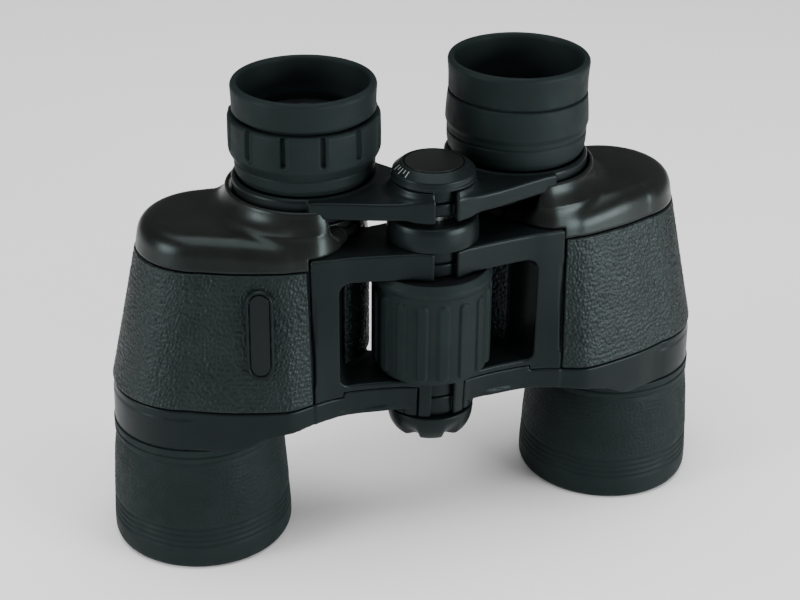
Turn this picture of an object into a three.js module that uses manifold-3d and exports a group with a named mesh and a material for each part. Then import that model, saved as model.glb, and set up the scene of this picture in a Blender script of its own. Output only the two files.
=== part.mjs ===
// Porro-prism binoculars, 8x40, standing on their objectives.
// Millimetres, +Z up.  Every piece is laid out about the centre hinge axis (x = y = 0) and the
// whole model is then moved back so that its box is centred on the origin.
// The left half is the user's left, on +X; the right half is its mirror image on -X.
import * as THREE from 'three';
import { mergeVertices } from 'three/addons/utils/BufferGeometryUtils.js';
import Module from 'manifold-3d';

const wasm = await Module();
wasm.setup();

// ---------------------------------------------------------------- driving dimensions
const HINGE_Y = -14.3;
const OBJECTIVE = [63.8, 19.5];
const EYEPIECE = [30.7, 19.75];
const GAP = 0.3;
const ROUND = 24;
const ROUND_INNER = 16;

const SEAM_LOW = 51;
const SEAM_HIGH = 91;
const LEATHER = 1.0;
const WALL = 2.0;
const INNER_WALL_R = 17.6;

const LUG_R = 12.8;
const LUG_CORE_R = 10.5;
const LUG_GAP_X = 3.2;
const UPPER_LUG = [86.4, 94];
const LOWER_LUG = [42.6, 54.5];
const LOWER_ARM_Z = 45.3;
const TUBE_R = 6;
const TUBE_BORE_R = 3.7;

const BRIDGE_R = 11.6;
const BRIDGE_CORE_R = 9.3;
const BRIDGE_GAP_X = 3;
const BRIDGE_HUB = [103.6, 111.4];
const BRIDGE_PLATE_TOP = 108.4;
const BRIDGE_RING_R = 20.3;
const OCULAR_R = 16.5;
const OCULAR_BORE_R = 12.3;

const OBJECTIVE_TUBE_R = 22;
const OBJECTIVE_BORE_R = 20.5;
const PRISM_R = 7.2;
const CLIP_WIDTH = 4;
const SHELF_Z = [69, 71];
const SKIRT_LOW = 38.9;
const BADGE = { at: [50.5, -7.6, 75], lean: 7.8, turn: 14.5 };

// Outline of one half seen from above, front to outer side, at the lower and the upper seam.
const FRONT_LOW = [[28.5, -6.8], [31, -8], [36.5, -9.6], [42, -11.5], [46, -11.5], [53, -9.7],
  [62, -7], [71, -3]];
const FRONT_HIGH = [[28.5, -6.6], [31, -7.2], [36, -6.4], [40.2, -6.7], [43.6, -6.7], [49.5, -5.1],
  [57.1, -2.8], [64.8, 0.5]];
const OUTER_LOW = { centre: OBJECTIVE, r: 23.7 };
const OUTER_HIGH = { centre: [58.7, 19.5], r: 20 };
const BACK_LOW = [[54, 42.8], [45, 41.4], [38, 39.2]];
const BACK_HIGH = [[50.4, 39.2], [43, 38], [38, 36.9]];

// Front edges of the arms, from the hinge outwards.
const UPPER_ARM_FRONT = [[LUG_GAP_X, -12.3], [8.5, -10.2], [15, -9.1], [25, -7.6], [31, -7.6], [36, -7.2]];
const LOWER_ARM_FRONT = [[LUG_GAP_X, -12.3], [9, -9.4], [15.7, -8.2], [25, -7.2], [31, -7.9], [36, -9.2]];
const ARM_BACK = [[34, 4], [18, 10], [7, 12], [LUG_GAP_X, 12.3]];
const BRIDGE_FRONT = [[BRIDGE_GAP_X, -11.1], [8.5, -9.4], [16.3, -7.5], [23, -5.2], [27.5, -3.4],
  [31.5, -0.6]];
const BRIDGE_BACK = [[34, 8], [18, 32], [7, 16], [BRIDGE_GAP_X, 11.1]];

// ---------------------------------------------------------------- materials
const finish = (color, roughness, metalness) =>
  new THREE.MeshStandardMaterial({ color, roughness, metalness });
const blackPaint = finish(0x1b2021, 0.32, 0.3);
const satinCover = finish(0x202627, 0.5, 0.1);
const leatherette = finish(0x2c3333, 0.7, 0);
const rubber = finish(0x2b3435, 0.85, 0);
const steel = finish(0x9a9c9e, 0.3, 1);
const anodised = finish(0x101213, 0.4, 0.6);
const glass = finish(0x3a2f4a, 0.05, 0);
const prismGlass = finish(0xc9d6d8, 0.05, 0);
const gloss = finish(0x060606, 0.1, 0);

// ---------------------------------------------------------------- solids
const model = new THREE.Group();
const hingeFrame = new THREE.Group();
hingeFrame.position.y = HINGE_Y;
model.add(hingeFrame);

function signedVolume(positions, triangles) {
  let sum = 0;
  const a = new THREE.Vector3();
  const b = new THREE.Vector3();
  const c = new THREE.Vector3();
  for (let i = 0; i < triangles.length; i += 3) {
    a.fromArray(positions, triangles[i] * 3);
    b.fromArray(positions, triangles[i + 1] * 3);
    c.fromArray(positions, triangles[i + 2] * 3);
    sum += a.dot(b.cross(c));
  }
  return sum;
}

// A closed geometry as a solid: shared corners merged, slivers dropped, faces out.
function solid(geometry) {
  const bare = geometry.clone();
  bare.deleteAttribute('normal');
  bare.deleteAttribute('uv');
  const merged = mergeVertices(bare, 1e-4);
  const index = merged.index.array;
  const kept = [];
  for (let i = 0; i < index.length; i += 3) {
    const [a, b, c] = [index[i], index[i + 1], index[i + 2]];
    if (a !== b && b !== c && c !== a) kept.push(a, b, c);
  }
  const positions = Float32Array.from(merged.attributes.position.array);
  if (signedVolume(positions, kept) < 0) kept.reverse();
  const triVerts = Uint32Array.from(kept);
  return new wasm.Manifold(new wasm.Mesh({ numProp: 3, vertProperties: positions, triVerts }));
}

// A profile of [radius, height] points turned about Z, on the axis or closed on itself.
function turned(profile, [x, y] = [0, 0], segments = ROUND) {
  const onAxis = profile[0][0] === 0 && profile[profile.length - 1][0] === 0;
  const closed = onAxis ? profile : [...profile, profile[0]];
  const geometry = new THREE.LatheGeometry(closed.map(([r, z]) => new THREE.Vector2(r, z)), segments);
  geometry.rotateX(Math.PI / 2);
  return solid(geometry).translate([x, y, 0]);
}

const disc = (r, z0, z1, centre, segments) =>
  turned([[0, z0], [r, z0], [r, z1], [0, z1]], centre, segments);
const ring = (inner, outer, z0, z1, centre, segments) =>
  turned([[inner, z0], [outer, z0], [outer, z1], [inner, z1]], centre, segments);

function plate(outline, z0, z1) {
  const shape = new THREE.Shape(outline.map(([x, y]) => new THREE.Vector2(x, y)));
  const geometry = new THREE.ExtrudeGeometry(shape, { depth: z1 - z0, bevelEnabled: false });
  geometry.translate(0, 0, z0);
  return solid(geometry);
}

function block([x0, y0, z0], [x1, y1, z1]) {
  const geometry = new THREE.BoxGeometry(x1 - x0, y1 - y0, z1 - z0);
  geometry.translate((x0 + x1) / 2, (y0 + y1) / 2, (z0 + z1) / 2);
  return solid(geometry);
}

// Outlines with the same number of points, joined from one height to the next.
function loft(layers) {
  const count = layers[0].outline.length;
  const positions = layers.flatMap(({ z, outline }) => outline.flatMap(([x, y]) => [x, y, z]));
  const index = [];
  for (let layer = 0; layer + 1 < layers.length; layer += 1) {
    for (let i = 0; i < count; i += 1) {
      const a = layer * count + i;
      const b = layer * count + (i + 1) % count;
      index.push(a, b, b + count, a, b + count, a + count);
    }
  }
  [0, layers.length - 1].forEach((layer) => {
    const contour = layers[layer].outline.map(([x, y]) => new THREE.Vector2(x, y));
    THREE.ShapeUtils.triangulateShape(contour, []).forEach(([i, j, k]) => {
      const turn = THREE.ShapeUtils.area([contour[i], contour[j], contour[k]]);
      const up = turn > 0 ? [i, j, k] : [i, k, j];
      const cap = layer === 0 ? up.reverse() : up;
      index.push(...cap.map((corner) => layer * count + corner));
    });
  });
  const geometry = new THREE.BufferGeometry();
  geometry.setAttribute('position', new THREE.Float32BufferAttribute(positions, 3));
  geometry.setIndex(index);
  return solid(geometry);
}

const cut = (body, ...tools) => tools.reduce((left, tool) => left.subtract(tool), body);
const join = (body, ...others) => others.reduce((sum, other) => sum.add(other), body);

function addNode(name, body, material, side = 1) {
  const { vertProperties, triVerts } = body.getMesh();
  const positions = Float32Array.from(vertProperties);
  const index = Array.from(triVerts);
  if (side < 0) {
    for (let i = 0; i < positions.length; i += 3) positions[i] *= -1;
    index.reverse();
  }
  const geometry = new THREE.BufferGeometry();
  geometry.setAttribute('position', new THREE.BufferAttribute(positions, 3));
  geometry.setIndex(index);
  geometry.computeVertexNormals();
  const mesh = new THREE.Mesh(geometry, material);
  mesh.name = name;
  hingeFrame.add(mesh);
}

// ---------------------------------------------------------------- outlines
function arc([cx, cy], r, fromDeg, toDeg, steps) {
  return Array.from({ length: steps + 1 }, (_, i) => {
    const angle = THREE.MathUtils.degToRad(fromDeg + ((toDeg - fromDeg) * i) / steps);
    return [cx + r * Math.cos(angle), cy + r * Math.sin(angle)];
  });
}

const mix = (a, b, t) => a + (b - a) * t;
const mixPoints = (low, high, t) => low.map((p, i) => [mix(p[0], high[i][0], t), mix(p[1], high[i][1], t)]);

// The half's outline, from the lower seam (t = 0) to the upper seam (t = 1).
function bodyOutline(t) {
  const [centre] = mixPoints([OUTER_LOW.centre], [OUTER_HIGH.centre], t);
  return [
    ...mixPoints(FRONT_LOW, FRONT_HIGH, t),
    ...arc(centre, mix(OUTER_LOW.r, OUTER_HIGH.r, t), -66, 90, 9),
    ...mixPoints(BACK_LOW, BACK_HIGH, t),
    ...arc(EYEPIECE, INNER_WALL_R, 72, 248, 10),
  ];
}

function inset(outline, distance) {
  const count = outline.length;
  return outline.map(([x, y], i) => {
    const [px, py] = outline[(i + count - 1) % count];
    const [nx, ny] = outline[(i + 1) % count];
    const length = Math.hypot(nx - px, ny - py);
    return [x - ((ny - py) / length) * distance, y + ((nx - px) / length) * distance];
  });
}

const HALF_MIDDLE = [46, 16];
const shrunk = (outline, k, [cx, cy] = HALF_MIDDLE) =>
  outline.map(([x, y]) => [cx + (x - cx) * k, cy + (y - cy) * k]);
const shiftedBack = (line, dy) => line.map(([x, y]) => [x, y + dy]);
const heightShare = (z) => (z - SEAM_LOW) / (SEAM_HIGH - SEAM_LOW);

// Half of a round lug: the sector on this side of the gap between the two halves.
const lugSector = (r, gapX, z0, z1) => disc(r, z0, z1).intersect(block([gapX, -30, z0], [30, 30, z1]));

// Each lug ring takes one half of the lug's height: the left half's ring is the lower one.
function stackedLug(armAndSector, [z0, z1], coreR, boreR, isLeft) {
  const middle = (z0 + z1) / 2;
  const own = isLeft ? [z0, middle - GAP / 2] : [middle + GAP / 2, z1];
  const other = isLeft ? [middle - GAP / 2, z1 + 1] : [z0 - 1, middle + GAP / 2];
  const room = disc(coreR + GAP, other[0], other[1]);
  return cut(join(cut(armAndSector, room), disc(coreR, own[0], own[1])), disc(boreR, z0 - 1, z1 + 1));
}

// ---------------------------------------------------------------- housing of one half
// The space inside the housing, or the same space drawn in a little for what must fit it.
const prismChamber = (k = 1) => loft([
  { z: 49.1, outline: shrunk(inset(bodyOutline(0), LEATHER + WALL + 0.9), k) },
  { z: 96, outline: shrunk(inset(bodyOutline(1), LEATHER + GAP + WALL), k) },
]);

function housing(isLeft) {
  const shell = loft([
    { z: 47.1, outline: inset(bodyOutline(0), 1.9) },
    { z: SEAM_LOW - 0.1, outline: inset(bodyOutline(0), 1.9) },
    { z: SEAM_LOW + GAP, outline: inset(bodyOutline(0), LEATHER + GAP) },
    { z: SEAM_HIGH - 0.2, outline: inset(bodyOutline(1), LEATHER + GAP) },
  ]);
  const strip = loft([
    { z: SEAM_LOW + GAP, outline: [[28.5, -6.8], [31, -8], [36, -9.4], [36, -5], [28.5, -2]] },
    { z: SEAM_HIGH - 0.2, outline: [[28.5, -6.6], [31, -7.2], [36, -6.4], [36, -3], [28.5, -2]] },
  ]);
  const chamber = prismChamber();
  const upperArm = join(
    plate([...UPPER_ARM_FRONT, ...ARM_BACK], ...UPPER_LUG),
    lugSector(LUG_R, LUG_GAP_X, ...UPPER_LUG),
  );
  const skinTop = 52.7;
  const lowerArm = join(
    plate([...LOWER_ARM_FRONT, ...ARM_BACK], skinTop, LOWER_LUG[1]),
    plate([...shiftedBack(LOWER_ARM_FRONT, 1.9), ...ARM_BACK], LOWER_ARM_Z + 1.9, skinTop),
    lugSector(LUG_R, LUG_GAP_X, ...LOWER_LUG),
  );
  const lightPath = disc(OBJECTIVE_TUBE_R + GAP, 45, 50, OBJECTIVE);
  const frame = cut(join(shell, strip), chamber, lightPath);
  const upper = stackedLug(upperArm, UPPER_LUG, LUG_CORE_R, TUBE_R + GAP, isLeft);
  const lower = stackedLug(lowerArm, LOWER_LUG, LUG_CORE_R, TUBE_R + GAP, isLeft);
  return cut(join(frame, upper, lower), chamber, disc(15.6, SEAM_HIGH, 95, EYEPIECE));
}

// A profile of [x, z] points as a wall right across the half, front to back.
function acrossHalf(profile) {
  const shape = new THREE.Shape(profile.map(([x, z]) => new THREE.Vector2(x, z)));
  const geometry = new THREE.ExtrudeGeometry(shape, { depth: 100, bevelEnabled: false });
  geometry.rotateX(Math.PI / 2);
  geometry.translate(0, 60, 0);
  return solid(geometry);
}

// Objective-side cover: a skirt with a collar round the objective and a skin on the lower arm.
// The skirt's lower edge rises towards the arm.
function frontCover() {
  const outer = loft([
    { z: SKIRT_LOW, outline: inset(bodyOutline(0), -0.6) },
    { z: SEAM_LOW - 0.1, outline: bodyOutline(0) },
  ]);
  const lowerEdge = [[57, SKIRT_LOW + 0.3], [51, 42.4], [45, 44], [34, LOWER_ARM_Z - 0.2]];
  const band = [[100, SKIRT_LOW], [60, SKIRT_LOW], ...lowerEdge, [0, LOWER_ARM_Z - 0.2], [0, 60], [100, 60]];
  const skirtFloor = LOWER_ARM_Z + 1.5;
  const skirtHollow = cut(loft([
    { z: SKIRT_LOW - 1, outline: inset(bodyOutline(0), 1.8) },
    { z: skirtFloor - 1.8, outline: inset(bodyOutline(0), 1.8) },
  ]), disc(25.2, SKIRT_LOW - 2, 50, OBJECTIVE));
  const pan = cut(outer.intersect(acrossHalf(band)), skirtHollow);
  const hollow = loft([
    { z: skirtFloor, outline: inset(bodyOutline(0), 1.6) },
    { z: SEAM_LOW + 1, outline: inset(bodyOutline(0), 1.6) },
  ]);
  const collar = turned([[22.3, SKIRT_LOW], [25.2, SKIRT_LOW], [24.6, 46], [22.3, 46]], OBJECTIVE);
  const skinFront = LOWER_ARM_FRONT.slice(1);
  const skin = plate([[6.8, -10.4], ...skinFront, ...shiftedBack(skinFront, 1.6).reverse(), [6.8, -8.8]],
    LOWER_ARM_Z - 0.2, 52.4);
  const sill = plate([[13.2, -8.2], ...skinFront.slice(1), [34, 4], [18, 10], [13.2, 10]],
    LOWER_ARM_Z - 0.2, LOWER_ARM_Z + 1.6);
  const armRoom = plate([...shiftedBack(LOWER_ARM_FRONT, 1.6), [36, 4], [18, 10.6], [7, 12.6]],
    LOWER_ARM_Z + 1.6, 56);
  const lugRoom = disc(LUG_R + GAP, 40, 60);
  const body = cut(join(pan, collar), hollow, armRoom);
  const stripRoom = block([27.5, -12, SEAM_LOW - 0.1], [40, 0, 56]);
  const arms = cut(join(skin, sill), lugRoom, hollow, stripRoom);
  return cut(join(body, arms), disc(22.3, 38, 60, OBJECTIVE));
}

// Eyepiece-side cover: a rounded shoulder with a recess and a crescent guard round the eyepiece.
function rearCover() {
  const top = bodyOutline(1);
  const dome = loft([
    { z: SEAM_HIGH + 0.1, outline: top },
    { z: 95, outline: shrunk(top, 0.99) },
    { z: 98.4, outline: shrunk(top, 0.93) },
    { z: 101, outline: shrunk(top, 0.76) },
  ]);
  const hollow = loft([
    { z: SEAM_HIGH - 1, outline: inset(top, WALL) },
    { z: 95, outline: inset(top, WALL + 0.3) },
    { z: 96.6, outline: shrunk(inset(top, WALL + 0.3), 0.93) },
  ]);
  const guardProfile = [[21, 96.8], [24.5, 96.8], [23.2, 102], [22.6, 105.4], [22, 106], [21, 106]];
  const guardRing = turned(guardProfile, EYEPIECE);
  const sector = plate([EYEPIECE, ...arc(EYEPIECE, 40, -80, 92, 8)], 96, 107);
  const recess = disc(21, 98.3, 110, EYEPIECE);
  const armRoom = plate([[20, -9], [25, -8], [31, -8], [36.4, -7.8], [36.4, 4.4], [18, 10.4], [10, 12]], 88,
    UPPER_LUG[1] + GAP);
  const guideRoom = disc(15.6, 88, 110, EYEPIECE);
  return cut(join(dome, guardRing.intersect(sector)), hollow, recess, armRoom, guideRoom);
}

function leatherGrip() {
  const skin = loft([
    { z: SEAM_LOW + 0.2, outline: bodyOutline(heightShare(SEAM_LOW + 0.2)) },
    { z: SEAM_HIGH - 0.2, outline: bodyOutline(heightShare(SEAM_HIGH - 0.2)) },
  ]);
  const core = loft([
    { z: SEAM_LOW - 1, outline: inset(bodyOutline(0), LEATHER) },
    { z: SEAM_HIGH + 1, outline: inset(bodyOutline(1), LEATHER) },
  ]);
  const stripRoom = plate([[26.5, -12], [36.3, -12], [36.3, -2], [26.5, -2]], 50, 92);
  const behindArm = [[34, 4.4], [18, 10.4], [7, 12.4], [0, 12.6]];
  const upperArmRoom = plate([...shiftedBack(UPPER_ARM_FRONT, -GAP), ...behindArm],
    UPPER_LUG[0] - GAP, 96);
  const lowerArmRoom = plate([...shiftedBack(LOWER_ARM_FRONT, -GAP), ...behindArm],
    40, LOWER_LUG[1] + GAP);
  return cut(skin, core, stripRoom, upperArmRoom, lowerArmRoom);
}

// ---------------------------------------------------------------- optics
// A right-angle prism lying on the shelf: hypotenuse on the shelf, ends rounded about both beams.
function prism(from, to, shelfZ, upward) {
  const length = Math.hypot(to[0] - from[0], to[1] - from[1]);
  const halfSpan = length / 2 + PRISM_R;
  const flat = 2;
  const apexZ = halfSpan - flat;
  const roof = new THREE.Shape([[-halfSpan, 0], [halfSpan, 0], [flat, apexZ], [-flat, apexZ]]
    .map(([x, y]) => new THREE.Vector2(x, y)));
  const wedge = new THREE.ExtrudeGeometry(roof, { depth: 2 * PRISM_R, bevelEnabled: false });
  wedge.translate(0, 0, -PRISM_R);
  wedge.rotateX(Math.PI / 2);
  const roundEnds = [
    ...arc([length / 2, 0], PRISM_R, -90, 90, 10),
    ...arc([-length / 2, 0], PRISM_R, 90, 270, 10),
  ];
  const stadium = plate(roundEnds, -1, halfSpan + 1);
  const angle = THREE.MathUtils.radToDeg(Math.atan2(to[1] - from[1], to[0] - from[0]));
  const centre = [(from[0] + to[0]) / 2, (from[1] + to[1]) / 2];
  const upright = solid(wedge).intersect(stadium);
  const turnedOver = upward ? upright : upright.rotate([180, 0, 0]);
  return turnedOver.rotate([0, 0, angle]).translate([centre[0], centre[1], shelfZ]);
}

// A bent spring strip over the prism's roof, with a foot at each end.
function prismClip(from, to, shelfZ, upward) {
  const length = Math.hypot(to[0] - from[0], to[1] - from[1]);
  const reach = length / 2 + PRISM_R;
  const thick = 0.6;
  const inner = [[-reach - 0.8, 0.9], [-reach + 1.4, 3.2], [-3, reach - 1.4], [3, reach - 1.4],
    [reach - 1.4, 3.2], [reach + 0.8, 0.9]];
  const outer = inner.map(([x, y]) => [x, y + thick]).reverse();
  const shape = new THREE.Shape([...inner, ...outer].map(([x, y]) => new THREE.Vector2(x, y)));
  const strip = new THREE.ExtrudeGeometry(shape, { depth: CLIP_WIDTH, bevelEnabled: false });
  strip.translate(0, 0, -CLIP_WIDTH / 2);
  strip.rotateX(Math.PI / 2);
  const angle = THREE.MathUtils.radToDeg(Math.atan2(to[1] - from[1], to[0] - from[0]));
  const upright = solid(strip);
  const turnedOver = upward ? upright : upright.rotate([180, 0, 0]);
  return turnedOver.rotate([0, 0, angle]).translate([(from[0] + to[0]) / 2, (from[1] + to[1]) / 2, shelfZ]);
}

// A lens about Z, from the rim's two edges and the bulge of each face.
function lens(r, z0, z1, bulgeBelow, bulgeAbove, centre) {
  const steps = 2;
  const face = (z, bulge) => Array.from({ length: steps + 1 }, (_, i) => {
    const share = i / steps;
    return [r * share, z + bulge * (1 - share * share)];
  });
  return turned([...face(z0, -bulgeBelow), ...face(z1, bulgeAbove).reverse()], centre, ROUND_INNER);
}

function opticsOfHalf(name, side) {
  const turningPoint = [(OBJECTIVE[0] + EYEPIECE[0]) / 2, (OBJECTIVE[1] + EYEPIECE[1]) / 2 - 16.6];
  const slab = block([0, -30, SHELF_Z[0]], [100, 60, SHELF_Z[1]]);
  const shelf = cut(prismChamber(0.98).intersect(slab),
    ...[OBJECTIVE, turningPoint, EYEPIECE].map((centre) => disc(7.6, 60, 80, centre, ROUND_INNER)));
  addNode(`${name}_prism_shelf`, shelf, anodised, side);
  const upper = [turningPoint, OBJECTIVE, SHELF_Z[1] + GAP, true];
  const lower = [turningPoint, EYEPIECE, SHELF_Z[0] - GAP, false];
  addNode(`${name}_upper_prism`, prism(...upper), prismGlass, side);
  addNode(`${name}_lower_prism`, prism(...lower), prismGlass, side);
  addNode(`${name}_upper_prism_clip`, prismClip(...upper), steel, side);
  addNode(`${name}_lower_prism_clip`, prismClip(...lower), steel, side);
}

function objectiveOfHalf(name, side) {
  const lensSeat = [[OBJECTIVE_BORE_R, 15], [19.2, 15], [19.2, 13.4], [OBJECTIVE_BORE_R, 13.4]];
  const tube = turned([[OBJECTIVE_BORE_R, 1.2], [OBJECTIVE_TUBE_R, 1.2], [OBJECTIVE_TUBE_R, 49], [19, 49],
    [19, 47.5], [OBJECTIVE_BORE_R, 47.5], ...lensSeat], OBJECTIVE, ROUND_INNER);
  addNode(`${name}_objective_tube`, tube, anodised, side);
  const sleeveOuter = [[25.2, 0], [26, 1.6], [26, 5], [25.5, 14], [24.6, 27], [23.5, 33], [24.2, 35],
    [24.2, 38.6]];
  const sleeve = turned([[22.3, 0], ...sleeveOuter, [22.3, 38.6]], OBJECTIVE);
  addNode(`${name}_objective_sleeve`, sleeve, rubber, side);
  const retainer = turned([[19, 5], [20.2, 4.6], [20.2, 7.6], [19, 7.6]], OBJECTIVE, ROUND_INNER);
  addNode(`${name}_objective_retaining_ring`, retainer, anodised, side);
  addNode(`${name}_objective_lens`, lens(20.1, 8.4, 12.6, 0, 0.4, OBJECTIVE), glass, side);
}

function ocularOfHalf(name, side, isLeft) {
  const barrel = turned([[OCULAR_BORE_R, 88], [13.9, 88], [13.9, 103], [OCULAR_R, 103.6], [OCULAR_R, 122],
    [14.7, 122], [14.7, 124], [10.6, 124], [10.6, 122.6], [OCULAR_BORE_R, 122.6]],
    EYEPIECE, ROUND_INNER);
  addNode(`${name}_ocular_barrel`, barrel, anodised, side);
  addNode(`${name}_eye_lens`, lens(12, 119.4, 121.4, 0.8, 0.8, EYEPIECE), glass, side);
  addNode(`${name}_field_lens`, lens(12, 91, 93.4, 0.6, 0.8, EYEPIECE), glass, side);
  const guide = ring(14.2, 15.3, SEAM_HIGH + 0.3, 98.4, EYEPIECE, ROUND_INNER);
  addNode(`${name}_eyepiece_guide`, guide, anodised, side);
  const straightCup = [[16.9, 119.3], [17.9, 119.3], [17.9, 127.3], [19.6, 127.3], [19.8, 134.6],
    [19.2, 135.4], [18.2, 135.4], [17.8, 134.6], [16.9, 125]];
  const foldingCup = [[16.9, 108.8], [18.3, 108.8], [19.6, 111], [20.15, 117], [19.3, 126.6], [19.85, 135.2],
    [19.3, 136.2], [18.3, 136.2], [17.8, 135.2], [16.9, 124]];
  addNode(`${name}_eyecup`, turned(isLeft ? foldingCup : straightCup, EYEPIECE), rubber, side);
}

// ---------------------------------------------------------------- bridge and centre pieces
function bridgeArm(isLeft) {
  const sector = lugSector(BRIDGE_R, BRIDGE_GAP_X, ...BRIDGE_HUB);
  const armPlate = plate([...BRIDGE_FRONT, ...BRIDGE_BACK], BRIDGE_HUB[0], BRIDGE_PLATE_TOP);
  const end = disc(BRIDGE_RING_R, BRIDGE_HUB[0], BRIDGE_PLATE_TOP, EYEPIECE);
  const bossRoom = disc(BRIDGE_CORE_R - 1, BRIDGE_PLATE_TOP, BRIDGE_HUB[1] + 1);
  const arm = cut(join(armPlate, end, sector), disc(OCULAR_R + 0.4, 100, 115, EYEPIECE));
  const hub = stackedLug(arm, BRIDGE_HUB, BRIDGE_CORE_R, 3.6, isLeft);
  return isLeft ? cut(hub, bossRoom) : hub;
}

function bridgeArmPair() {
  addNode('left_bridge_arm', bridgeArm(true), blackPaint);
  addNode('right_bridge_arm', bridgeArm(false), blackPaint, -1);
}

function hingePieces() {
  const slot = block([-1.9, -10, 66], [1.9, 10, 80]);
  const tube = cut(ring(TUBE_BORE_R, TUBE_R, 43, 101, [0, 0], ROUND_INNER), slot);
  addNode('hinge_tube', tube, steel);
  const collar = turned([[TUBE_R + GAP, 94.3], [12.8, 94.3], [12.6, 97.2], [11.4, 100], [10.2, 101.4],
    [TUBE_R + GAP, 101.4]]);
  addNode('hinge_collar', collar, blackPaint);
  const crossHole = block([-1.8, -10, 70.2], [1.8, 10, 73.8]);
  const shaft = cut(disc(3.3, 60, 111.2, [0, 0], ROUND_INNER), crossHole);
  addNode('focus_shaft', shaft, steel);
  addNode('focus_follower_key', block([-1.5, -7.6, 70.5], [1.5, 7.6, 73.5]), steel);
  const scaleCap = turned([[0, 111.8], [11.6, 111.8], [11.2, 113.9], [9.35, 116.1], [8.3, 116.1],
    [8.3, 115.2], [0, 115.2]]);
  addNode('ipd_scale_cap', scaleCap, blackPaint);
  addNode('cap_disc', disc(7.9, 115.5, 116.4), satinCover);
}

function tripodCap() {
  const profile = [[0, 34.2], [9.1, 34.2], [10.5, 35], [11.8, 37.6], [12.5, 40], [12.5, 42.3],
    [3.2, 42.3], [3.2, 46], [0, 46]];
  const scallops = Array.from({ length: 6 }, (_, i) => {
    const angle = THREE.MathUtils.degToRad(30 + 60 * i);
    const ball = new THREE.SphereGeometry(4.2, 10, 6);
    ball.translate(13.6 * Math.cos(angle), 13.6 * Math.sin(angle), 34.4);
    return solid(ball);
  });
  addNode('tripod_socket_cap', cut(turned(profile), ...scallops), satinCover);
}

function focusWheel() {
  const core = turned([[6.4, 55.9], [14.9, 55.9], [14.9, 85.6], [6.4, 85.6], [6.4, 82], [8.3, 82], [8.3, 64],
    [6.4, 64]], [0, 0], ROUND_INNER);
  addNode('focus_wheel', core, anodised);
  const ribs = 17;
  const ribbed = [];
  for (let i = 0; i < ribs; i += 1) {
    const start = (360 / ribs) * i;
    ribbed.push(...arc([0, 0], 16.9, start - 4.6, start + 4.6, 1));
    ribbed.push(...arc([0, 0], 16.1, start + 6.6, start + 14.6, 1));
  }
  const lower = turned([[15.2, 55.4], [15.8, 55.4], [16.9, 57.4], [15.2, 57.4]]);
  const upper = turned([[15.2, 81.6], [16.9, 81.6], [16.9, 83.9], [15.6, 86], [15.2, 86]]);
  const sleeve = cut(plate(ribbed, 57.3, 81.7), disc(15.2, 50, 90));
  addNode('focus_wheel_grip', join(lower, upper, sleeve), rubber);
}

function dioptreRing() {
  const body = turned([[16.9, 108.9], [18.6, 108.9], [19.3, 112], [20.9, 115.4], [20.8, 126.4],
    [18.3, 126.4], [18.3, 118.4], [16.9, 118.4]], EYEPIECE, 24);
  const notches = Array.from({ length: 12 }, (_, i) => {
    const angle = THREE.MathUtils.degToRad(30 * i);
    const at = [EYEPIECE[0] + 20.9 * Math.cos(angle), EYEPIECE[1] + 20.9 * Math.sin(angle)];
    return disc(0.85, 118, 127, at, 6);
  });
  addNode('dioptre_ring', cut(body, ...notches), rubber, -1);
}

// A blank plate with round ends in a raised bezel, lying along the tapered front of the right half.
function badge() {
  const roundEnded = (width, height) => {
    const r = width / 2;
    const reach = height / 2 - r;
    return [...arc([0, reach], r, 0, 180, 8), ...arc([0, -reach], r, 180, 360, 8)];
  };
  const place = (body) => body.rotate([90, 0, 0]).rotate([-BADGE.lean, 0, BADGE.turn]).translate(BADGE.at);
  addNode('name_badge', place(plate(roundEnded(5.4, 24), 0, 0.6)), gloss, -1);
  const bezel = cut(plate(roundEnded(8, 26.6), 0, 1), plate(roundEnded(6, 24.6), -1, 2));
  addNode('badge_bezel', place(bezel), gloss, -1);
}

function strapLug(name, side) {
  const plateBody = block([43.5, 40.8, 78], [50.5, 45.2, 84]);
  const eye = block([45.3, 42.4, 77], [48.7, 44, 85]);
  addNode(`${name}_strap_lug`, cut(plateBody, eye), steel, side);
}

// ---------------------------------------------------------------- assembly
[['left', 1], ['right', -1]].forEach(([name, side]) => {
  const isLeft = side > 0;
  addNode(`${name}_housing`, housing(isLeft), blackPaint, side);
  addNode(`${name}_front_cover`, frontCover(), satinCover, side);
  addNode(`${name}_rear_cover`, rearCover(), satinCover, side);
  addNode(`${name}_leather_grip`, leatherGrip(), leatherette, side);
  opticsOfHalf(name, side);
  objectiveOfHalf(name, side);
  ocularOfHalf(name, side, isLeft);
  strapLug(name, side);
});
bridgeArmPair();
hingePieces();
tripodCap();
focusWheel();
dioptreRing();
badge();

export default model;
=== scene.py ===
"""Porro-prism binoculars: the visual model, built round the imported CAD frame.

Shapes are worked out in millimetres about the centre hinge axis, for the user's left half (+X), and
mirrored for the right half.  Cast and moulded pieces come from a signed distance field, round pieces
are turned, and the leatherette is a sheet with a pebbled relief.
"""
import math

import bpy
import numpy as np
from mathutils import Matrix, Vector


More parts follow.
